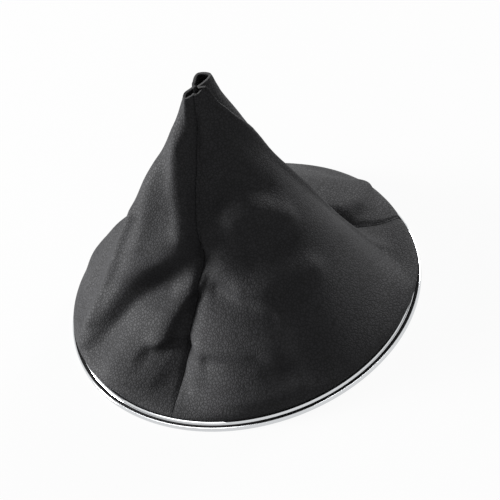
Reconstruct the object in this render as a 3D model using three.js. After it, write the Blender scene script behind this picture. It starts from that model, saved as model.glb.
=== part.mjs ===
// Gear lever gaiter for a passenger car: three panels of black synthetic leather, sewn into
// a folded cone with an open mouth, and a round chrome-plated trim ring that stands on the
// centre console. Millimetres, +Z up, the console's face is z = 0 and the ring's centre the
// origin. Azimuths are in degrees, counted from the front (-Y) towards the right (+X).

import * as THREE from 'three';

// Main sizes
const ringDiameter = 150;
const gaiterHeight = 114; // console to the mean height of the mouth
const trimWidth = 3.5; // radial width of the chrome trim ring
const trimHeight = 2.5;
const leatherThickness = 1.0;
const seamAllowance = 4; // leather turned inwards along each seam
const clampWidth = 4.2; // radial width of the plastic ring that holds the hem
const clampHeight = 2.5;
const fitGap = 0.3; // clearance between pieces that touch on the real gaiter
const hemLift = 0.5; // the hem's cut edge stays this far above the console

const ringRadius = ringDiameter / 2;
const trimBore = ringRadius - trimWidth;
const hemRadius = trimBore - fitGap;
const clampRadius = hemRadius - leatherThickness - 0.5;

// The leather is lofted through level sections. They are drawn in millimetres for a gaiter
// 114 high on a hem of radius 71.2, and tall and wide stretch them to the sizes above. seams
// gives the azimuths of the front, right and left seams and valley their radii about the
// centre. front, back and left give each panel's radii at three stations from its first seam
// to its last, and crest the azimuth and radius of the ridge at the right of the front panel.
const tall = gaiterHeight / 114;
const wide = hemRadius / 71.2;
const sections = [
  { z: hemLift, centre: [0, 0], seams: [-36.7, 101, 218], valley: [71.2, 71.2, 71.2],
    front: [71.2, 71.2, 71.2], crest: [74, 71.2], back: [71.2, 71.2, 71.2], left: [71.2, 71.2, 71.2] },
  { z: trimHeight - 0.3, centre: [0, 0], seams: [-36.7, 101, 218], valley: [71, 71.4, 71.2],
    front: [71.3, 71.3, 71.4], crest: [74, 71.4], back: [71.4, 71.3, 71.3], left: [71.3, 71.3, 71.3] },
  { z: trimHeight + 2.5 * tall, centre: [0, 0], seams: [-36.9, 100, 218], valley: [66, 73.4, 70],
    front: [72, 72.6, 74], crest: [77, 74.4], back: [74.6, 73.8, 73], left: [73.2, 73.6, 72.6] },
  { z: 9 * tall, centre: [0.1, 0], seams: [-37.2, 98, 218], valley: [57, 63.5, 62],
    front: [68.5, 70, 70], crest: [82, 62.5], back: [71.5, 70.5, 69.5], left: [70.5, 71.2, 69.5] },
  { z: 14 * tall, centre: [0.3, 0.1], seams: [-37.8, 98, 218], valley: [49.5, 52, 52],
    front: [62.5, 65, 62.5], crest: [87, 54.8], back: [64.5, 65, 63], left: [66.5, 66, 63] },
  { z: 20 * tall, centre: [0.5, 0.1], seams: [-38.3, 100, 218], valley: [44.4, 46.5, 44],
    front: [55, 59, 56.5], crest: [89, 50.2], back: [58, 58, 55], left: [61, 60.8, 55] },
  { z: 27 * tall, centre: [0.8, 0.2], seams: [-38.8, 103, 218], valley: [35, 35, 34],
    front: [45, 51.5, 50.5], crest: [90, 45.6], back: [50, 51.5, 48], left: [54.5, 55.5, 48] },
  { z: 34 * tall, centre: [1.2, 0.3], seams: [-39, 104, 218], valley: [28.4, 28, 27],
    front: [34.6, 44, 45], crest: [90, 42], back: [43, 46, 42.5], left: [49, 51.5, 38.5] },
  { z: 44 * tall, centre: [1.7, 0.3], seams: [-34.8, 104, 218], valley: [29, 21, 20],
    front: [28.6, 35, 38.5], crest: [90, 37.6], back: [36.5, 40, 36.5], left: [40, 45.8, 32] },
  { z: 58 * tall, centre: [2.7, 0.4], seams: [-37.8, 102, 219], valley: [19, 15, 14],
    front: [19.8, 25.6, 29.5], crest: [89, 30.6], back: [29.5, 32.5, 28.5], left: [30, 38.6, 25.2] },
  { z: 74 * tall, centre: [3.9, 0.5], seams: [-42.7, 99, 222], valley: [14, 10.5, 9.5],
    front: [13.6, 17, 20.5], crest: [86, 22.4], back: [23, 24.5, 20.5], left: [22, 30.2, 20.6] },
  { z: 89 * tall, centre: [4.4, 0.4], seams: [-43, 102, 224], valley: [8.6, 8.6, 6.5],
    front: [7.8, 9.8, 12.8], crest: [88, 16.6], back: [18.2, 18, 12.5], left: [12.5, 18.8, 16.6] },
  { z: 103 * tall, centre: [4.6, -0.1], seams: [-37, 109, 220], valley: [4.9, 7.4, 3.8],
    front: [4, 4.2, 5.8], crest: [97, 10.4], back: [15.2, 13.8, 9.4], left: [6.6, 10.6, 8.6] },
  { z: gaiterHeight, centre: [4.8, -0.6], seams: [-36.5, 117, 216], valley: [3.9, 6.2, 2.9],
    front: [2.7, 2.8, 3.6], crest: [103, 6.4], back: [12.2, 12.8, 6.8], left: [3.6, 6, 5.2] },
];

// Stations of front, back and left as shares of the way from seam to seam
const stations = { front: [0.2, 0.5, 0.74], back: [0.22, 0.5, 0.77], left: [0.2, 0.46, 0.74] };
const seamPinch = 1.15; // how much steeper a panel dives into its seams than its chord

// Folds and creases on the loft, drawn at the same size: a path of [azimuth, height], the
// half widths on its left and its right, and the rise, which is negative for a crease.
const folds = [
  { path: [[-22, 58], [-12, 60], [4, 62.5], [22, 64], [40, 61], [56, 52]],
    left: 4.5, right: 7, rise: 3.8 },
  { path: [[-16, 69], [-2, 72], [14, 74], [32, 73], [48, 67]], left: 6, right: 4, rise: -1.8 },
  { path: [[10, 46], [24, 46], [36, 48]], left: 7, right: 7, rise: -3 },
  { path: [[-4, 36], [8, 36.5], [24, 38], [40, 37]], left: 3.5, right: 6, rise: 2.6 },
  { path: [[-33, 35], [-23, 34], [-11, 33], [-2, 31], [8, 28]], left: 3, right: 3.5, rise: -3.2 },
  { path: [[-27, 24], [-12, 24.5], [2, 23]], left: 4.5, right: 7, rise: 3.2 },
  { path: [[20, 31], [18, 22], [15, 13]], left: 10, right: 5.5, rise: -3.4 },
  { path: [[-34, 16], [-16, 18.5], [-4, 18], [6, 13]], left: 3.5, right: 4, rise: -2.4 },
  { path: [[-30, 9], [-9, 9], [10, 8]], left: 3.5, right: 4, rise: 2.2 },
  { path: [[-91, 62], [-92, 50], [-90, 41], [-89, 30], [-86, 17]], left: 2.6, right: 3.6, rise: 2.4 },
  { path: [[-111, 43], [-108, 31], [-104, 18]], left: 2.6, right: 2.6, rise: 1.8 },
  { path: [[-131, 38], [-125, 30], [-119, 22]], left: 12, right: 9, rise: 4.4 },
  { path: [[-38, 45], [-47, 43], [-58, 40], [-68, 34], [-75, 26], [-78, 16]],
    left: 9, right: 4.5, rise: -5 },
  { path: [[-42, 57], [-52, 53], [-62, 49], [-72, 43], [-79, 34], [-82, 22], [-82, 12]],
    left: 4.5, right: 9, rise: 3 },
  { path: [[-40, 35], [-45, 31.5], [-47.5, 27], [-48.5, 22]], left: 2.4, right: 7, rise: 4.2 },
  { path: [[-38, 17], [-45, 17.5], [-54, 15.5]], left: 2.6, right: 3, rise: -3 },
  { path: [[-48, 10], [-64, 10]], left: 4, right: 4, rise: 1.8 },
  { path: [[-90, 82], [-86, 72], [-79, 62]], left: 3, right: 3, rise: 1.2 },
  { path: [[-66, 99], [-60, 89], [-55, 80], [-53, 70]], left: 1.8, right: 4, rise: 2.2 },
  { path: [[104, 24], [108, 16], [117, 13]], left: 7, right: 6, rise: 4.6 },
  { path: [[97, 104], [88, 86], [87, 66], [90, 50], [90, 30], [89, 19], [85, 11]],
    left: 2.4, right: 2.4, rise: 1.3 },
  { path: [[150, 70], [158, 45], [152, 22]], left: 7, right: 9, rise: 2.2 },
  { path: [[188, 58], [176, 34], [184, 14]], left: 8, right: 6, rise: -2.2 },
  { path: [[205, 40], [198, 20]], left: 8, right: 8, rise: 2.4 },
];

const clamp01 = (v) => Math.min(1, Math.max(0, v));
const ease = (v) => clamp01(v) ** 2 * (3 - 2 * clamp01(v));
const toRadians = (degrees) => (degrees * Math.PI) / 180;

// A curve through knots (xs, ys) that never overshoots them; pinch steepens both its ends
function curveThrough(xs, ys, x, pinch = 1) {
  const last = xs.length - 1;
  const chord = xs.slice(1).map((v, i) => (ys[i + 1] - ys[i]) / (v - xs[i]));
  const slope = (i) => {
    if (i === 0) return chord[0] * pinch;
    if (i === last) return chord[last - 1] * pinch;
    const [a, b] = [chord[i - 1], chord[i]];
    return a * b > 0 ? (2 * a * b) / (a + b) : 0;
  };
  let i = 0;
  while (i < last - 1 && x > xs[i + 1]) i += 1;
  const h = xs[i + 1] - xs[i];
  const t = clamp01((x - xs[i]) / h);
  return (
    (1 + 2 * t) * (1 - t) ** 2 * ys[i] + t * (1 - t) ** 2 * h * slope(i) +
    t * t * (3 - 2 * t) * ys[i + 1] - t * t * (1 - t) * h * slope(i + 1)
  );
}

const levels = sections.map((section) => section.z);
const lofted = (read, z) => curveThrough(levels, sections.map(read), z);

// One level of the loft: its centre, its seams and every panel's knots
function levelSection(z) {
  const seams = [0, 1, 2].map((k) => lofted((s) => s.seams[k], z));
  const valley = [0, 1, 2].map((k) => lofted((s) => s.valley[k], z) * wide);
  const panel = (name, from, to) => {
    const start = seams[from];
    const end = to === 0 ? seams[0] + 360 : seams[to];
    const knots = stations[name].map((at, k) => [at, lofted((s) => s[name][k], z) * wide]);
    if (name === 'front') {
      const crest = lofted((s) => s.crest[0], z);
      knots.push([(crest - start) / (end - start), lofted((s) => s.crest[1], z) * wide]);
    }
    const all = [[0, valley[from]], ...knots, [1, valley[to]]];
    return { start, end, at: all.map((k) => k[0]), radius: all.map((k) => k[1]) };
  };
  return {
    x: lofted((s) => s.centre[0], z) * wide,
    y: lofted((s) => s.centre[1], z) * wide,
    front: panel('front', 0, 1),
    back: panel('back', 1, 2),
    left: panel('left', 2, 0),
  };
}

// What the folds and creases add to the radius at one place
function foldRise(azimuth, z, radius) {
  const around = Math.max(radius / wide, 6);
  let rise = 0;
  for (const fold of folds) {
    let nearest = Infinity;
    let width = fold.left;
    for (let i = 1; i < fold.path.length; i += 1) {
      const [[a0, h0], [a1, h1]] = [fold.path[i - 1], fold.path[i]];
      const turn = ((((a0 - azimuth + 180) % 360) + 360) % 360) - 180;
      const [x, y] = [toRadians(turn) * around, h0 - z / tall];
      const [dx, dy] = [toRadians(a1 - a0) * around, h1 - h0];
      const t = clamp01(-(x * dx + y * dy) / (dx * dx + dy * dy));
      const away = Math.hypot(x + t * dx, y + t * dy);
      if (away < nearest) {
        nearest = away;
        const side = (dy * x - dx * y) / (Math.hypot(dx, dy) * Math.max(away, 1e-6));
        width = fold.right + (fold.left - fold.right) * ease(0.5 + 0.5 * side);
      }
    }
    rise += fold.rise * Math.exp(-((nearest / width) ** 2));
  }
  const fades = ease((z - trimHeight - 2 * tall) / (6 * tall)) * ease((gaiterHeight - z) / (11 * tall));
  return rise * wide * fades;
}

// Radius of one panel's outer face, share being the way from its first seam to its last. The
// leather rolls over into a groove beside each seam.
function panelRadius(level, name, share, z) {
  const panel = level[name];
  const azimuth = panel.start + share * (panel.end - panel.start);
  let radius = curveThrough(panel.at, panel.radius, share, seamPinch);
  radius += foldRise(azimuth, z, radius);
  const sewn = Math.min(share, 1 - share) * toRadians(panel.end - panel.start) * radius;
  const right = (share < 0.5) === (name === 'back') && name !== 'left';
  const depth = right && z < 34 * tall ? 2.4 : Math.min(1, radius / 5);
  const groove = Math.exp(-((sewn / (0.8 + 0.5 * depth)) ** 2));
  return radius - depth * groove * ease((z - trimHeight - 0.5) / (5 * tall));
}

// The mouth's cut edge stands a little higher at the back
function heightAt(azimuth, z) {
  const nearMouth = clamp01((z / gaiterHeight - 0.877) / 0.123) ** 2;
  return z + nearMouth * (0.3 + 0.8 * Math.cos(toRadians(azimuth - 150)));
}

// Rows of the mesh lie close together at the hem, columns at the seams
const rowCount = 28;
const rowHeights = Array.from({ length: rowCount + 1 }, (_, i) => {
  const t = i / rowCount;
  return hemLift + (0.4 * t + 0.6 * t ** 1.8) * (gaiterHeight - hemLift);
});
const columnShare = (t) => t - (0.6 * Math.sin(2 * Math.PI * t)) / (2 * Math.PI);

// The allowance is a narrow lip at the hem, grows above the clamp ring and is trimmed where
// the valleys near the mouth leave little room for the lever
function allowanceAt(z, valleyRadius) {
  const lip = leatherThickness + 0.15;
  const full = Math.min(seamAllowance, Math.max(lip, valleyRadius - 3.4));
  return lip + (full - lip) * ease((z - clampHeight - 1.5) / 4);
}

// One row of a panel: its outer face from the end of one allowance to that of the other,
// and the inner face, which lies a leather's thickness further in
function panelRow(name, z, columns) {
  const level = levelSection(z);
  const panel = level[name];
  const radiusAt = (share) => panelRadius(level, name, clamp01(share), z);
  const onSeam = (azimuth, radius, side) => {
    const a = toRadians(azimuth);
    const off = (side * fitGap) / 2;
    const [x, y] = [radius * Math.sin(a) + off * Math.cos(a), off * Math.sin(a) - radius * Math.cos(a)];
    return [level.x + x, level.y + y];
  };
  const first = radiusAt(0);
  const last = radiusAt(1);
  const start = panel.start + THREE.MathUtils.radToDeg(Math.asin(fitGap / 2 / first));
  const end = panel.end - THREE.MathUtils.radToDeg(Math.asin(fitGap / 2 / last));

  const below = Math.max(hemLift, z - 0.5);
  const above = Math.min(gaiterHeight, z + 0.5);
  const [lower, upper] = [levelSection(below), levelSection(above)];
  const outer = [];
  outer.push({ at: onSeam(panel.start, first - allowanceAt(z, first), 1), azimuth: panel.start, lean: 0 });
  for (let j = 0; j <= columns; j += 1) {
    const share = columnShare(j / columns);
    const azimuth = start + share * (end - start);
    const a = toRadians(azimuth);
    const radius = radiusAt(share);
    const rise = panelRadius(upper, name, share, above) - panelRadius(lower, name, share, below);
    const lean = rise / (above - below);
    outer.push({ at: [level.x + radius * Math.sin(a), level.y - radius * Math.cos(a)], azimuth, lean });
  }
  outer.push({ at: onSeam(panel.end, last - allowanceAt(z, last), -1), azimuth: panel.end, lean: 0 });

  // Mitred offset to the left of the way round, wider where the leather lies flatter
  const inner = outer.map((point, j) => {
    const before = outer[Math.max(j - 1, 0)].at;
    const after = outer[Math.min(j + 1, outer.length - 1)].at;
    const unit = (from, to) => {
      const length = Math.hypot(to[0] - from[0], to[1] - from[1]);
      return [(to[0] - from[0]) / length, (to[1] - from[1]) / length];
    };
    const into = j === 0 ? unit(point.at, after) : unit(before, point.at);
    const out = j === outer.length - 1 ? into : unit(point.at, after);
    const normal = [-(into[1] + out[1]), into[0] + out[0]];
    const size = Math.hypot(...normal);
    const across = [normal[0] / size, normal[1] / size];
    const mitre = Math.max(0.6, across[0] * -into[1] + across[1] * into[0]);
    const a = toRadians(point.azimuth);
    const facing = Math.abs(across[0] * Math.sin(a) - across[1] * Math.cos(a));
    const flat = Math.min(2.4, Math.hypot(1, point.lean * facing));
    const thickness = (leatherThickness * flat) / mitre;
    return [point.at[0] + across[0] * thickness, point.at[1] + across[1] * thickness];
  });
  const lift = (xy, j) => [xy[0], xy[1], heightAt(outer[j].azimuth, z)];
  return { outer: outer.map((p, j) => lift(p.at, j)), inner: inner.map(lift) };
}

// A closed band of leather from rows of outer and inner points
function leatherGeometry(name, columns) {
  const rows = rowHeights.map((z) => panelRow(name, z, columns));
  const width = rows[0].outer.length;
  const positions = rows.flatMap((row) => [...row.outer, ...row.inner]).flat();
  const outer = (i, j) => i * 2 * width + j;
  const inner = (i, j) => outer(i, j) + width;
  const index = [];
  const quad = (a, b, c, d) => index.push(a, b, c, a, c, d);
  for (let i = 0; i < rowCount; i += 1) {
    for (let j = 0; j < width - 1; j += 1) {
      quad(outer(i, j), outer(i, j + 1), outer(i + 1, j + 1), outer(i + 1, j));
      quad(inner(i, j), inner(i + 1, j), inner(i + 1, j + 1), inner(i, j + 1));
    }
    quad(inner(i, 0), outer(i, 0), outer(i + 1, 0), inner(i + 1, 0));
    quad(outer(i, width - 1), inner(i, width - 1), inner(i + 1, width - 1), outer(i + 1, width - 1));
  }
  for (let j = 0; j < width - 1; j += 1) {
    quad(outer(0, j + 1), outer(0, j), inner(0, j), inner(0, j + 1));
    quad(outer(rowCount, j), outer(rowCount, j + 1), inner(rowCount, j + 1), inner(rowCount, j));
  }
  const geometry = new THREE.BufferGeometry();
  geometry.setAttribute('position', new THREE.Float32BufferAttribute(positions, 3));
  geometry.setIndex(index);
  geometry.computeVertexNormals();
  return geometry;
}

// A ring turned from a closed profile of [radius, height]
function turnedRing(profile, segments) {
  const points = [...profile, profile[0]].map(([r, z]) => new THREE.Vector2(r, z));
  return new THREE.LatheGeometry(points, segments).rotateX(Math.PI / 2);
}

const leather = new THREE.MeshStandardMaterial({ color: 0x1c1c1d, roughness: 0.6, metalness: 0 });
const chrome = new THREE.MeshStandardMaterial({ color: 0xdfe1e3, roughness: 0.1, metalness: 1 });
const plastic = new THREE.MeshStandardMaterial({ color: 0x151516, roughness: 0.5, metalness: 0 });

const gaiter = new THREE.Group();
const add = (name, geometry, material) => {
  const mesh = new THREE.Mesh(geometry, material);
  mesh.name = name;
  gaiter.add(mesh);
};

add('leather_panel_front', leatherGeometry('front', 38), leather);
add('leather_panel_back', leatherGeometry('back', 23), leather);
add('leather_panel_left', leatherGeometry('left', 30), leather);

// The trim ring: flat underside, undercut outer edge, narrow flange, groove and raised bead
add('trim_ring', turnedRing([
  [trimBore, 0],
  [ringRadius - 1.4, 0],
  [ringRadius - 0.15, trimHeight * 0.38],
  [ringRadius, trimHeight * 0.5],
  [ringRadius - 0.4, trimHeight * 0.69],
  [ringRadius - 1.15, trimHeight * 0.76],
  [ringRadius - 2.05, trimHeight * 0.66],
  [ringRadius - 2.38, trimHeight * 0.94],
  [ringRadius - 2.75, trimHeight],
  [ringRadius - 3.2, trimHeight * 0.92],
  [trimBore, trimHeight * 0.68],
], 96), chrome);

// The clamp ring inside the hem, with its upper edges broken
add('clamp_ring', turnedRing([
  [clampRadius - clampWidth, 0],
  [clampRadius, 0],
  [clampRadius, clampHeight - 0.5],
  [clampRadius - 0.5, clampHeight],
  [clampRadius - clampWidth + 0.5, clampHeight],
  [clampRadius - clampWidth, clampHeight - 0.5],
], 96), plastic);

export default gaiter;
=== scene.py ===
import math

import bmesh
import bpy
from mathutils import Matrix, Vector


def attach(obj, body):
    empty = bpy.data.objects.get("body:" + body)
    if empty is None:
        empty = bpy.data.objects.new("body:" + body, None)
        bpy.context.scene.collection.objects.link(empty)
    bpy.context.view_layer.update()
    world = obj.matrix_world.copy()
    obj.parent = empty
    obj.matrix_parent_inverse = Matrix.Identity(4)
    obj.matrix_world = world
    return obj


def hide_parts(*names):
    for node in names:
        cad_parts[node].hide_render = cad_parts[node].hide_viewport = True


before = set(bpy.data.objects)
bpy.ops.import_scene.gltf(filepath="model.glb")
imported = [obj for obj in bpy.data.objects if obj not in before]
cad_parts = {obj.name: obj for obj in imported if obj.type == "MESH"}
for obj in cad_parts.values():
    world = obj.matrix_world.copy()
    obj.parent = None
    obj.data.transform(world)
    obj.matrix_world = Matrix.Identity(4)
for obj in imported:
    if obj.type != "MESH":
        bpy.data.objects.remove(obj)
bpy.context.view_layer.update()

MM = 0.001

# Camera: a long lens a metre away, 43 degrees above the table, turned on its own axis as
# the photograph is.
ELEVATION = math.radians(43.403)
ROLL = math.radians(-16.888)
AIM = Vector((7.32, 0.0, 24.3)) * MM
camera_data = bpy.data.cameras.new("camera")
camera_data.sensor_width = 36.0
camera_data.lens = 173.59
camera_data.clip_start = 0.05
camera_data.clip_end = 20.0
camera = bpy.data.objects.new("camera", camera_data)
bpy.context.scene.collection.objects.link(camera)
towards = Vector((0.0, -math.cos(ELEVATION), math.sin(ELEVATION)))
camera.matrix_world = (
    Matrix.Translation(AIM + towards)
    @ Matrix.Rotation(math.pi / 2 - ELEVATION, 4, "X")
    @ Matrix.Rotation(ROLL, 4, "Z")
)
bpy.context.scene.camera = camera
bpy.context.scene.view_settings.view_transform = "Standard"


def linear(hex_colour):
    """An sRGB hex colour as the linear red, green, blue and alpha that a shader takes."""
    channels = [int(hex_colour[i : i + 2], 16) / 255 for i in (1, 3, 5)]
    turned = [c / 12.92 if c <= 0.04045 else ((c + 0.055) / 1.055) ** 2.4 for c in channels]
    return (*turned, 1.0)


def node(material, kind, links=None, **settings):
    """Adds a node to a material or world; links is socket name -> value or output socket."""
    tree = material.node_tree
    new = tree.nodes.new(kind)
    for name, value in settings.items():
        setattr(new, name, value)
    for name, value in (links or {}).items():
        socket = new.inputs[name]
        if isinstance(value, bpy.types.NodeSocket):
            tree.links.new(value, socket)
        else:
            socket.default_value = value
    return new


def empty_material(name):
    material = bpy.data.materials.new(name)
    material.use_nodes = True
    material.node_tree.nodes.clear()
    return material


def seen_share(material):
    """One for rays from the camera, from metal and through glass, and zero for the others."""
    rays = node(material, "ShaderNodeLightPath")
    direct = {0: rays.outputs["Is Camera Ray"], 1: rays.outputs["Is Glossy Ray"]}
    seen = node(material, "ShaderNodeMath", direct, operation="MAXIMUM")
    through = {0: seen.outputs[0], 1: rays.outputs["Is Transmission Ray"]}
    return node(material, "ShaderNodeMath", through, operation="MAXIMUM")


# Floor: a white paper sweep. The camera and the chrome see it as plain white with the
# gaiter's faint shadow, and it throws its own soft light back on the leather.
SHADOWLESS = 0.94  # the rest of the paper's white takes the shadow
paper = empty_material("white_paper_sweep")
seen = seen_share(paper)
matt = node(paper, "ShaderNodeBsdfDiffuse", {"Color": linear("#bcbcbc")})
white = node(paper, "ShaderNodeEmission", {"Color": (1, 1, 1, 1), "Strength": 1.0})
share = node(paper, "ShaderNodeMath", {0: seen.outputs[0], 1: SHADOWLESS}, operation="MULTIPLY")
both = {0: share.outputs[0], 1: matt.outputs[0], 2: white.outputs[0]}
mixed = node(paper, "ShaderNodeMixShader", both)
node(paper, "ShaderNodeOutputMaterial", {"Surface": mixed.outputs[0]})

sweep = bmesh.new()
bmesh.ops.create_circle(sweep, cap_ends=True, segments=96, radius=6.0)
floor_mesh = bpy.data.meshes.new("floor")
sweep.to_mesh(floor_mesh)
sweep.free()
floor_mesh.materials.append(paper)
floor = bpy.data.objects.new("floor", floor_mesh)
bpy.context.scene.collection.objects.link(floor)

# Room: white to the camera and to the chrome, and dim to the leather
world = bpy.data.worlds.new("studio")
world.use_nodes = True
world.node_tree.nodes.clear()
seen = seen_share(world)
level = node(world, "ShaderNodeMapRange", {"Value": seen.outputs[0], "To Min": 0.13, "To Max": 1.0})
sky = node(world, "ShaderNodeBackground", {"Color": (1, 1, 1, 1), "Strength": level.outputs[0]})
node(world, "ShaderNodeOutputWorld", {"Surface": sky.outputs[0]})
bpy.context.scene.world = world


# Lamps: soft boxes above on the left and behind on the right, as the photograph's bright
# left flank and its lit skirt behind on the right show.
def soft_box(name, place, size, power):
    lamp = bpy.data.lights.new(name, "AREA")
    lamp.shape = "SQUARE"
    lamp.size = size
    lamp.energy = power
    holder = bpy.data.objects.new(name, lamp)
    bpy.context.scene.collection.objects.link(holder)
    place = Vector(place)
    facing = place.to_track_quat("Z", "Y").to_matrix().to_4x4()
    holder.matrix_world = Matrix.Translation(place) @ facing


soft_box("soft_box_left", (-1.35, 0.42, 0.42), 0.5, 58.0)
soft_box("soft_box_behind_right", (1.05, 0.9, 0.55), 0.5, 20.0)
soft_box("soft_box_above", (0.0, 0.7, 1.3), 0.6, 5.0)

# Leather panel at the front: 1.0 mm synthetic leather, black, with a pebble grain pressed
# into its skin and a knitted backing. It is cut as a gore, sewn to its neighbours and turned
# over. The panel hangs in folds on a loft through level sections.
HEIGHT = 114.0
HEM_LIFT = 0.5
LEATHER = 1.0
SEAM_GAP = 0.3
ALLOWANCE = 4.0
PINCH = 1.15  # how much steeper the leather leaves a seam

# Azimuths run from the front towards the right. In each section: height; centre x, y;
# azimuths of the front, right and left seams; radii in those seams; three radii across the
# front; the crest's azimuth and radius; three radii across the back and three across the
# left. Millimetres and degrees. The hem lies 0.3 mm inside the trim ring, at 71.2 mm.
SECTIONS = [
    (0.5, (0.0, 0.0), (-36.7, 101, 218), (71.2, 71.2, 71.2), (71.2, 71.2, 71.2), (74, 71.2),
     (71.2, 71.2, 71.2), (71.2, 71.2, 71.2)),
    (2.2, (0.0, 0.0), (-36.7, 101, 218), (71.0, 71.4, 71.2), (71.3, 71.3, 71.4), (74, 71.4),
     (71.4, 71.3, 71.3), (71.3, 71.3, 71.3)),
    (5.0, (0.0, 0.0), (-36.9, 100, 218), (66.0, 73.4, 70.0), (72.0, 72.6, 74.0), (77, 74.4),
     (74.6, 73.8, 73.0), (73.2, 73.6, 72.6)),
    (9.0, (0.1, 0.0), (-37.2, 98, 218), (57.0, 63.5, 62.0), (68.5, 70.0, 70.0), (82, 62.5),
     (71.5, 70.5, 69.5), (70.5, 71.2, 69.5)),
    (14.0, (0.3, 0.1), (-37.8, 98, 218), (49.5, 52.0, 52.0), (62.5, 65.0, 62.5), (87, 54.8),
     (64.5, 65.0, 63.0), (66.5, 66.0, 63.0)),
    (20.0, (0.5, 0.1), (-38.3, 100, 218), (44.4, 46.5, 44.0), (55.0, 59.0, 56.5), (89, 50.2),
     (58.0, 58.0, 55.0), (61.0, 60.8, 55.0)),
    (27.0, (0.8, 0.2), (-38.8, 103, 218), (35.0, 35.0, 34.0), (45.0, 51.5, 50.5), (90, 45.6),
     (50.0, 51.5, 48.0), (54.5, 55.5, 48.0)),
    (34.0, (1.2, 0.3), (-38.6, 104, 218), (29.0, 28.0, 27.0), (34.6, 44.0, 45.0), (90, 42.0),
     (43.0, 46.0, 42.5), (49.0, 51.5, 38.5)),
    (44.0, (1.7, 0.3), (-35.6, 104, 218), (27.6, 21.0, 20.0), (28.6, 35.0, 38.5), (90, 37.6),
     (36.5, 40.0, 36.5), (40.0, 45.8, 34.4)),
    (58.0, (2.7, 0.4), (-37.8, 102, 219), (19.0, 15.0, 14.0), (19.8, 25.6, 29.5), (89, 30.6),
     (29.5, 32.5, 28.5), (30.0, 38.4, 30.4)),
    (74.0, (3.9, 0.5), (-42.7, 99, 222), (14.0, 10.5, 9.5), (13.6, 17.0, 20.5), (86, 22.4),
     (23.0, 24.5, 20.5), (22.0, 30.0, 24.6)),
    (89.0, (4.4, 0.4), (-43.0, 102, 224), (8.6, 8.6, 6.5), (7.8, 9.8, 12.8), (88, 16.6),
     (18.2, 18.0, 12.5), (12.5, 18.8, 16.0)),
    (103.0, (4.9, 0.2), (-40.0, 104, 222), (5.3, 5.0, 4.0), (4.4, 4.4, 5.8), (76, 9.0),
     (13.0, 12.2, 7.0), (6.6, 10.4, 9.0)),
    (114.0, (6.0, 1.2), (-41.0, 100, 226), (4.4, 1.9, 3.4), (2.7, 2.0, 2.2), (87, 3.9),
     (8.8, 8.5, 4.2), (3.6, 5.6, 6.9)),
]
# where each panel's three radii stand, as shares of its width
STATIONS = {"front": (0.20, 0.50, 0.74), "back": (0.22, 0.50, 0.77), "left": (0.20, 0.46, 0.74)}

# Folds and creases on the loft: a path of (azimuth, height), its half widths on the left and
# on the right of someone who walks it on the outside, and its rise in millimetres.
FOLDS = [
    (((3, 62.3), (22, 64), (38, 61), (48, 56)), (4.5, 6.0), 2.8),
    (((-21, 59), (-10, 60.5)), (5.0, 9.0), 0.9),
    (((-16, 69), (-2, 72), (14, 74), (32, 73), (48, 67)), (6.0, 4.0), -1.8),
    (((14, 46), (24, 46), (34, 48)), (6.0, 6.0), -2.0),
    (((-4, 36), (8, 36.5), (24, 38), (40, 37)), (3.5, 6.0), 2.6),
    (((-22, 34), (-11, 33), (-2, 31), (8, 28)), (3.6, 3.2), -2.4),
    (((-27, 22), (-12, 22.5), (2, 21.5)), (7.0, 7.0), 3.0),
    (((20, 31), (18, 22), (15, 13)), (10.0, 5.5), -3.4),
    (((-25, 17), (-16, 18.5), (-4, 18), (6, 13)), (3.5, 4.0), -2.4),
    (((-30, 9), (-9, 9), (10, 8)), (3.5, 4.0), 2.2),
    (((-91, 62), (-92, 50), (-90, 41), (-89, 30), (-86, 17)), (2.6, 3.6), 2.4),
    (((-111, 43), (-108, 31), (-104, 18)), (2.6, 2.6), 1.8),
    (((-131, 38), (-125, 30), (-119, 22)), (12.0, 9.0), 4.4),
    (((-38, 45), (-47, 43), (-58, 40), (-68, 34), (-75, 26), (-78, 16)), (9.0, 4.5), -5.0),
    (((-42, 57), (-52, 53), (-62, 49), (-72, 43), (-79, 34), (-82, 22), (-82, 12)),
     (4.5, 9.0), 3.0),
    (((-40, 35), (-45, 31.5), (-47.5, 27), (-48.5, 22)), (2.4, 7.0), 4.2),
    (((-38, 17), (-45, 17.5), (-54, 15.5)), (2.6, 3.0), -3.0),
    (((-48, 10), (-64, 10)), (4.0, 4.0), 1.8),
    (((-88, 82), (-84, 72), (-79, 62), (-78, 52)), (3.4, 4.5), 1.0),
    (((-60, 95), (-54, 88), (-49, 78), (-45, 68), (-43, 60)), (1.7, 5.5), 4.4),
    (((104, 24), (108, 16), (117, 13)), (7.0, 6.0), 4.6),
    (((78, 103), (86, 88), (87, 66), (90, 50), (90, 30), (89, 19), (85, 11)), (2.4, 2.4), 1.3),
    (((150, 70), (158, 45), (152, 22)), (7.0, 9.0), 2.2),
    (((188, 58), (176, 34), (184, 14)), (8.0, 6.0), -2.2),
    (((205, 40), (198, 20)), (8.0, 8.0), 2.4),
]


def ease(v):
    """Zero up to 0 and one from 1 on, with a soft start and a soft end between them."""
    v = min(1.0, max(0.0, v))
    return v * v * (3 - 2 * v)


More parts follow.
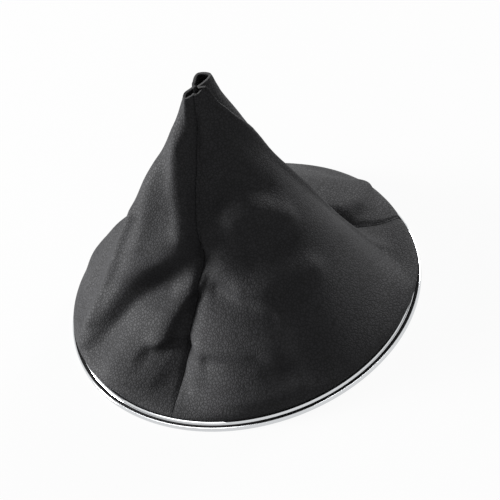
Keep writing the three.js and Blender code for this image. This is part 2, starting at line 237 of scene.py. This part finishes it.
def curve_through(xs, ys, x, pinch=1.0):
    """A curve through knots that never overshoots them; pinch steepens both its ends."""
    last = len(xs) - 1
    chord = [(ys[i + 1] - ys[i]) / (xs[i + 1] - xs[i]) for i in range(last)]

    def slope(i):
        if i in (0, last):
            return chord[min(i, last - 1)] * pinch
        a, b = chord[i - 1], chord[i]
        return 2 * a * b / (a + b) if a * b > 0 else 0.0

    i = 0
    while i < last - 1 and x > xs[i + 1]:
        i += 1
    h = xs[i + 1] - xs[i]
    t = min(1.0, max(0.0, (x - xs[i]) / h))
    return (
        (1 + 2 * t) * (1 - t) ** 2 * ys[i]
        + t * (1 - t) ** 2 * h * slope(i)
        + t * t * (3 - 2 * t) * ys[i + 1]
        - t * t * (1 - t) * h * slope(i + 1)
    )


LEVELS = [section[0] for section in SECTIONS]


def lofted(column, place, height):
    """One number of the sections, carried through all of them to a height."""
    return curve_through(LEVELS, [section[column][place] for section in SECTIONS], height)


def level_section(height):
    """The loft at one level: centre and, for each panel, its seams and its knots."""
    seams = [lofted(2, k, height) for k in range(3)]
    valley = [lofted(3, k, height) for k in range(3)]
    level = {"centre": (lofted(1, 0, height), lofted(1, 1, height))}
    for name, column, first, last in (("front", 4, 0, 1), ("back", 6, 1, 2), ("left", 7, 2, 0)):
        start = seams[first]
        end = seams[last] + (360 if last == 0 else 0)
        knots = [(0.0, valley[first])]
        knots += [(at, lofted(column, k, height)) for k, at in enumerate(STATIONS[name])]
        if name == "front":
            knots.append(((lofted(5, 0, height) - start) / (end - start), lofted(5, 1, height)))
        knots.append((1.0, valley[last]))
        level[name] = (start, end, [k[0] for k in knots], [k[1] for k in knots])
    return level


def fold_rise(azimuth, height, radius):
    """What the folds and creases add to the radius at one place."""
    around = max(radius, 6.0)
    rise = 0.0
    for path, widths, crest in FOLDS:
        nearest, width = 1e9, widths[0]
        for (a0, h0), (a1, h1) in zip(path, path[1:]):
            x = math.radians((a0 - azimuth + 180) % 360 - 180) * around
            y = h0 - height
            dx, dy = math.radians(a1 - a0) * around, h1 - h0
            t = min(1.0, max(0.0, -(x * dx + y * dy) / (dx * dx + dy * dy)))
            away = math.hypot(x + t * dx, y + t * dy)
            if away < nearest:
                nearest = away
                side = (dy * x - dx * y) / (math.hypot(dx, dy) * max(away, 1e-6))
                width = widths[1] + (widths[0] - widths[1]) * ease(0.5 + 0.5 * side)
        if nearest < 2.6 * width:
            rise += crest * math.exp(-((nearest / width) ** 2))
    return rise * ease((height - 4.5) / 6) * ease((HEIGHT - height) / 11)


def mouth_dip(azimuth, height):
    """How much higher the lip of the mouth stands, most at the back on the right."""
    near = min(1.0, max(0.0, (height - 100) / 14)) ** 2
    return near * (0.3 + 0.8 * math.cos(math.radians(azimuth - 150)))


def seam_roll(away, along, depth):
    """How far the leather dips beside a seam, where it rolls over and puckers a little."""
    pucker = 0.16 * math.sin(along * 1.15) + 0.1 * math.sin(along * 0.47 + 1.0)
    groove = math.exp(-((away / (0.95 + 0.15 * depth)) ** 2))
    return -depth * groove + pucker * math.exp(-((away / 3.2) ** 2))


ROWS = 130
COLUMNS = 150
LIP = 3  # columns at each side that make the turned allowance
SEAM_REACH = 12.0  # how far from a seam its groove and puckers are felt
SEAM_GROOVE = 1.1
RIGHT_GROOVE = 3.0  # the right seam lies deeper in its lower part
RIGHT_GROOVE_TOP = 34.0
STITCHED = 0.02  # how far the stitches press each allowance past the seam's middle
CROWDING = 0.7  # columns stand closer together beside the seams


def panel_row(level, name, height):
    """Points across one panel at one level, allowances included."""
    start, end, at, radii = level[name]
    cx, cy = level["centre"]
    points = []
    arc = math.radians(end - start)

    def radius_at(share):
        azimuth = start + share * (end - start)
        radius = curve_through(at, radii, share, PINCH)
        radius += fold_rise(azimuth, height, radius)
        unrolled = ease((height - 3) / 5)
        for away, seam in ((share, start), (1 - share, end)):
            if away * arc * radius < SEAM_REACH:
                deep = 90 < seam < 120 and height < RIGHT_GROOVE_TOP
                depth = RIGHT_GROOVE if deep else min(SEAM_GROOVE, radius / 5)
                radius += seam_roll(away * arc * radius, height * 1.4 + seam, depth) * unrolled
        return radius

    def on_seam(azimuth, radius, side, open_share):
        """A point of an allowance: apart at the surface, pressed together at the stitches."""
        a, off = math.radians(azimuth), side * (SEAM_GAP / 2 * open_share - STITCHED)
        x = cx + radius * math.sin(a) + off * math.cos(a)
        return (x, cy - radius * math.cos(a) + off * math.sin(a))

    first, last = radius_at(0.0), radius_at(1.0)
    lip = LEATHER + 0.15
    depths = []
    for valley in (first, last):
        full = min(ALLOWANCE, max(lip, valley - 3.4))
        depths.append(lip + (full - lip) * ease((height - 4) / 4))
    begin = start + math.degrees(math.asin(SEAM_GAP / 2 / first))
    finish = end - math.degrees(math.asin(SEAM_GAP / 2 / last))
    for k in range(LIP):
        points.append((*on_seam(start, first - depths[0] * (1 - k / LIP), 1, k / LIP), start))
    inside = COLUMNS - 2 * LIP
    for j in range(inside + 1):
        t = j / inside
        share = t - CROWDING * math.sin(2 * math.pi * t) / (2 * math.pi)
        azimuth = begin + share * (finish - begin)
        a, radius = math.radians(azimuth), radius_at(share)
        points.append((cx + radius * math.sin(a), cy - radius * math.cos(a), azimuth))
    for k in range(LIP):
        down = (k + 1) / LIP
        points.append((*on_seam(end, last - depths[1] * down, -1, 1 - down), end))
    return [Vector((x, y, height + mouth_dip(azimuth, height))) * MM for x, y, azimuth in points]


def leather_panel(name, node_name, materials):
    """One panel: a grid laid over the loft and given the leather's thickness inwards."""
    sheet = bmesh.new()
    sheet.loops.layers.uv.new("cut")
    bmesh.ops.create_grid(sheet, x_segments=COLUMNS, y_segments=ROWS, size=0.5, calc_uvs=True)
    sheet.verts.ensure_lookup_table()
    rows = {}
    for vertex in sheet.verts:
        column = round((vertex.co.x + 0.5) * COLUMNS)
        row = round((vertex.co.y + 0.5) * ROWS)
        if row not in rows:
            t = row / ROWS
            height = HEM_LIFT + (0.45 * t + 0.55 * t**1.7) * (HEIGHT - HEM_LIFT)
            rows[row] = panel_row(level_section(height), name, height)
        vertex.co = rows[row][column]
    for face in sheet.faces:
        face.smooth = True
    mesh = bpy.data.meshes.new(node_name + "_skin")
    sheet.to_mesh(mesh)
    sheet.free()
    for material in materials:
        mesh.materials.append(material)
    piece = bpy.data.objects.new(node_name + "_skin", mesh)
    bpy.context.scene.collection.objects.link(piece)
    wall = piece.modifiers.new("thickness", "SOLIDIFY")
    wall.thickness = LEATHER * MM
    wall.offset = -1.0
    wall.use_even_offset = True
    wall.thickness_clamp = 0.0
    wall.material_offset = 1
    wall.material_offset_rim = 2
    edge = piece.modifiers.new("worn_edge", "BEVEL")
    edge.width = 0.18 * MM
    edge.segments = 2
    edge.limit_method = "ANGLE"
    edge.angle_limit = math.radians(65)
    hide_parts(node_name)
    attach(piece, "root")


def ramp(material, factor, stops, interpolation="LINEAR"):
    """A colour ramp through (position, colour) stops."""
    new = node(material, "ShaderNodeValToRGB", {"Fac": factor})
    new.color_ramp.interpolation = interpolation
    for place, (at, colour) in enumerate(stops):
        stop = new.color_ramp.elements[place] if place < 2 else new.color_ramp.elements.new(at)
        stop.position = at
        stop.color = colour
    return new


# Black synthetic leather: a soft vinyl skin on cloth, rolled with a pebble grain. It gives a
# deep, slightly blue-grey black with a broad dull sheen, broken by fine wrinkles in painted shade.
leather = empty_material("black_grained_synthetic_leather")
place = node(leather, "ShaderNodeTexCoord").outputs["Object"]
GRAIN = 1.3 * MM  # mean width of a pebble
warp = node(
    leather,
    "ShaderNodeTexNoise",
    {"Vector": place, "Scale": 1 / (1.8 * GRAIN), "Detail": 3.0},
)
shift = node(
    leather,
    "ShaderNodeVectorMath",
    {0: warp.outputs["Color"], 1: (0.5, 0.5, 0.5)},
    operation="SUBTRACT",
)
shift = node(
    leather,
    "ShaderNodeVectorMath",
    {0: shift.outputs[0], "Scale": 1.3 * GRAIN},
    operation="SCALE",
)
bent = node(leather, "ShaderNodeVectorMath", {0: place, 1: shift.outputs[0]}, operation="ADD")
pebbles = node(
    leather,
    "ShaderNodeTexVoronoi",
    {"Vector": bent.outputs[0], "Scale": 1 / GRAIN, "Randomness": 0.95},
    feature="DISTANCE_TO_EDGE",
)
WRINKLE = 0.21  # how far a wrinkle reaches into a pebble
flanks = [(0.0, (0, 0, 0, 1)), (WRINKLE, (1, 1, 1, 1))]
domes = ramp(leather, pebbles.outputs["Distance"], flanks, "EASE")
pores = node(
    leather,
    "ShaderNodeTexNoise",
    {"Vector": place, "Scale": 1 / (0.35 * GRAIN), "Detail": 3.0, "Roughness": 0.6},
)
patches = node(
    leather,
    "ShaderNodeTexNoise",
    {"Vector": place, "Scale": 1 / (9 * GRAIN), "Detail": 3.0},
)
relief = node(
    leather,
    "ShaderNodeMath",
    {0: pores.outputs[0], 1: 0.5, 2: domes.outputs[0]},
    operation="MULTIPLY_ADD",
)
bump = node(
    leather,
    "ShaderNodeBump",
    {"Height": relief.outputs[0], "Distance": 0.08 * MM, "Strength": 1.0},
)
tint = ramp(leather, patches.outputs[0], [(0.3, linear("#242426")), (0.7, linear("#2c2c2e"))])
# Painted shade: the wrinkles between the pebbles take a darker colour, #161617, standing in for the
# shade that falls in them
grain_colour_with_painted_shade = node(
    leather,
    "ShaderNodeMix",
    {"Factor": domes.outputs[0], "A": linear("#161617"), "B": tint.outputs[0]},
    data_type="RGBA",
)
dull = node(
    leather,
    "ShaderNodeMapRange",
    {"Value": domes.outputs[0], "To Min": 0.72, "To Max": 0.64},
)
finish = {"Roughness": dull.outputs[0], "Normal": bump.outputs[0]}
finish |= {"IOR": 1.46, "Specular IOR Level": 0.2}
skin = node(leather, "ShaderNodeBsdfPrincipled", finish)
leather.node_tree.links.new(grain_colour_with_painted_shade.outputs[2], skin.inputs["Base Color"])
node(leather, "ShaderNodeOutputMaterial", {"Surface": skin.outputs[0]})

# Knitted backing: black polyester jersey, glued to the skin. It is matt, with a fine rib.
backing = empty_material("black_jersey_backing")
place = node(backing, "ShaderNodeTexCoord").outputs["Object"]
jersey = {"Vector": place, "Scale": 1 / (0.8 * MM), "Detail": 2.0}
rib = node(backing, "ShaderNodeTexNoise", jersey)
nap = node(backing, "ShaderNodeBump", {"Height": rib.outputs[0], "Distance": 0.2 * MM})
finish = {"Base Color": linear("#1c1c1d"), "Roughness": 0.95}
finish |= {"Normal": nap.outputs[0], "Specular IOR Level": 0.2}
cloth = node(backing, "ShaderNodeBsdfPrincipled", finish)
node(backing, "ShaderNodeOutputMaterial", {"Surface": cloth.outputs[0]})

# Cut edge of the leather: the skin and its backing, cut with a knife, a little greyer
cut_edge = empty_material("cut_leather_edge")
finish = {"Base Color": linear("#262627"), "Roughness": 0.8}
cut = node(cut_edge, "ShaderNodeBsdfPrincipled", finish)
node(cut_edge, "ShaderNodeOutputMaterial", {"Surface": cut.outputs[0]})

LAYERS = (leather, backing, cut_edge)
leather_panel("front", "leather_panel_front", LAYERS)

# Leather panel at the back: the same leather, cut as a second gore and sewn to the front
# panel along the right-hand seam. It hangs in two broad soft folds.
leather_panel("back", "leather_panel_back", LAYERS)

# Leather panel on the left: the smallest gore of the same leather. It is sewn to the back
# panel and then closes the cone at the front seam, where a long fold runs up to the seam.
leather_panel("left", "leather_panel_left", LAYERS)

# Trim ring: ABS plastic, moulded with a flat foot, a shallow groove and a raised bead beside
# the leather, and plated with bright chromium. Its profile is radius and height in mm.
TRIM_PROFILE = [
    (71.5, 0.0), (74.9, 0.0), (75.0, 0.12), (75.0, 1.15), (74.93, 1.4), (74.77, 1.58),
    (74.56, 1.69), (74.4, 1.71), (73.2, 1.65), (73.0, 1.67), (72.84, 1.82), (72.74, 2.08),
    (72.6, 2.34), (72.38, 2.47), (72.1, 2.5), (71.82, 2.38), (71.6, 2.1), (71.5, 1.75),
]
GROOVE = (73.0, 74.4)  # the groove's inner and outer radius
turned = bmesh.new()
corners = [turned.verts.new(Vector((r, 0, z)) * MM) for r, z in TRIM_PROFILE]
edges = [turned.edges.new(pair) for pair in zip(corners, corners[1:] + corners[:1])]
bmesh.ops.spin(
    turned,
    geom=corners + edges,
    axis=(0, 0, 1),
    cent=(0, 0, 0),
    angle=2 * math.pi,
    steps=240,
    use_merge=True,
)
bmesh.ops.recalc_face_normals(turned, faces=turned.faces)
for face in turned.faces:
    face.smooth = True
for line in turned.edges:
    line.smooth = line.calc_face_angle(0.0) < math.radians(14)
for face in turned.faces:
    centre = face.calc_center_median() / MM
    in_groove = GROOVE[0] < centre.xy.length < GROOVE[1] and centre.z > 1.0
    face.material_index = 1 if in_groove else 0
trim_mesh = bpy.data.meshes.new("trim_ring_turned")
turned.to_mesh(trim_mesh)
turned.free()

# Bright chromium on plastic: a hard mirror, slightly blue
chrome = empty_material("bright_chrome_plate_on_abs")
finish = {"Base Color": linear("#d0d2d4"), "Metallic": 1.0, "Roughness": 0.08}
metal = node(chrome, "ShaderNodeBsdfPrincipled", finish)
node(chrome, "ShaderNodeOutputMaterial", {"Surface": metal.outputs[0]})
trim_mesh.materials.append(chrome)

# Black colour in the ring's groove, between the bead and the outer edge, which makes the dark line
# there
groove_black = empty_material("black_in_groove")
finish = {"Base Color": linear("#0d0d0e"), "Roughness": 0.5, "Specular IOR Level": 0.12}
coat = node(groove_black, "ShaderNodeBsdfPrincipled", finish)
node(groove_black, "ShaderNodeOutputMaterial", {"Surface": coat.outputs[0]})
trim_mesh.materials.append(groove_black)
trim_ring = bpy.data.objects.new("trim_ring_turned", trim_mesh)
bpy.context.scene.collection.objects.link(trim_ring)
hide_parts("trim_ring")
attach(trim_ring, "root")

# Clamp ring: a plain ring of black moulded plastic inside the hem, where it holds the leather
# against the trim ring. It is hidden, and keeps its shape from the CAD model.
plastic = empty_material("black_moulded_plastic")
place = node(plastic, "ShaderNodeTexCoord").outputs["Object"]
grit = {"Vector": place, "Scale": 1 / (0.5 * MM), "Detail": 2.0}
texture = node(plastic, "ShaderNodeTexNoise", grit)
fine = node(plastic, "ShaderNodeBump", {"Height": texture.outputs[0], "Distance": 0.03 * MM})
finish = {"Base Color": linear("#161617"), "Roughness": 0.5, "Normal": fine.outputs[0]}
moulded = node(plastic, "ShaderNodeBsdfPrincipled", finish)
node(plastic, "ShaderNodeOutputMaterial", {"Surface": moulded.outputs[0]})
clamp = bpy.data.objects["clamp_ring"]
clamp.data.materials.clear()
clamp.data.materials.append(plastic)
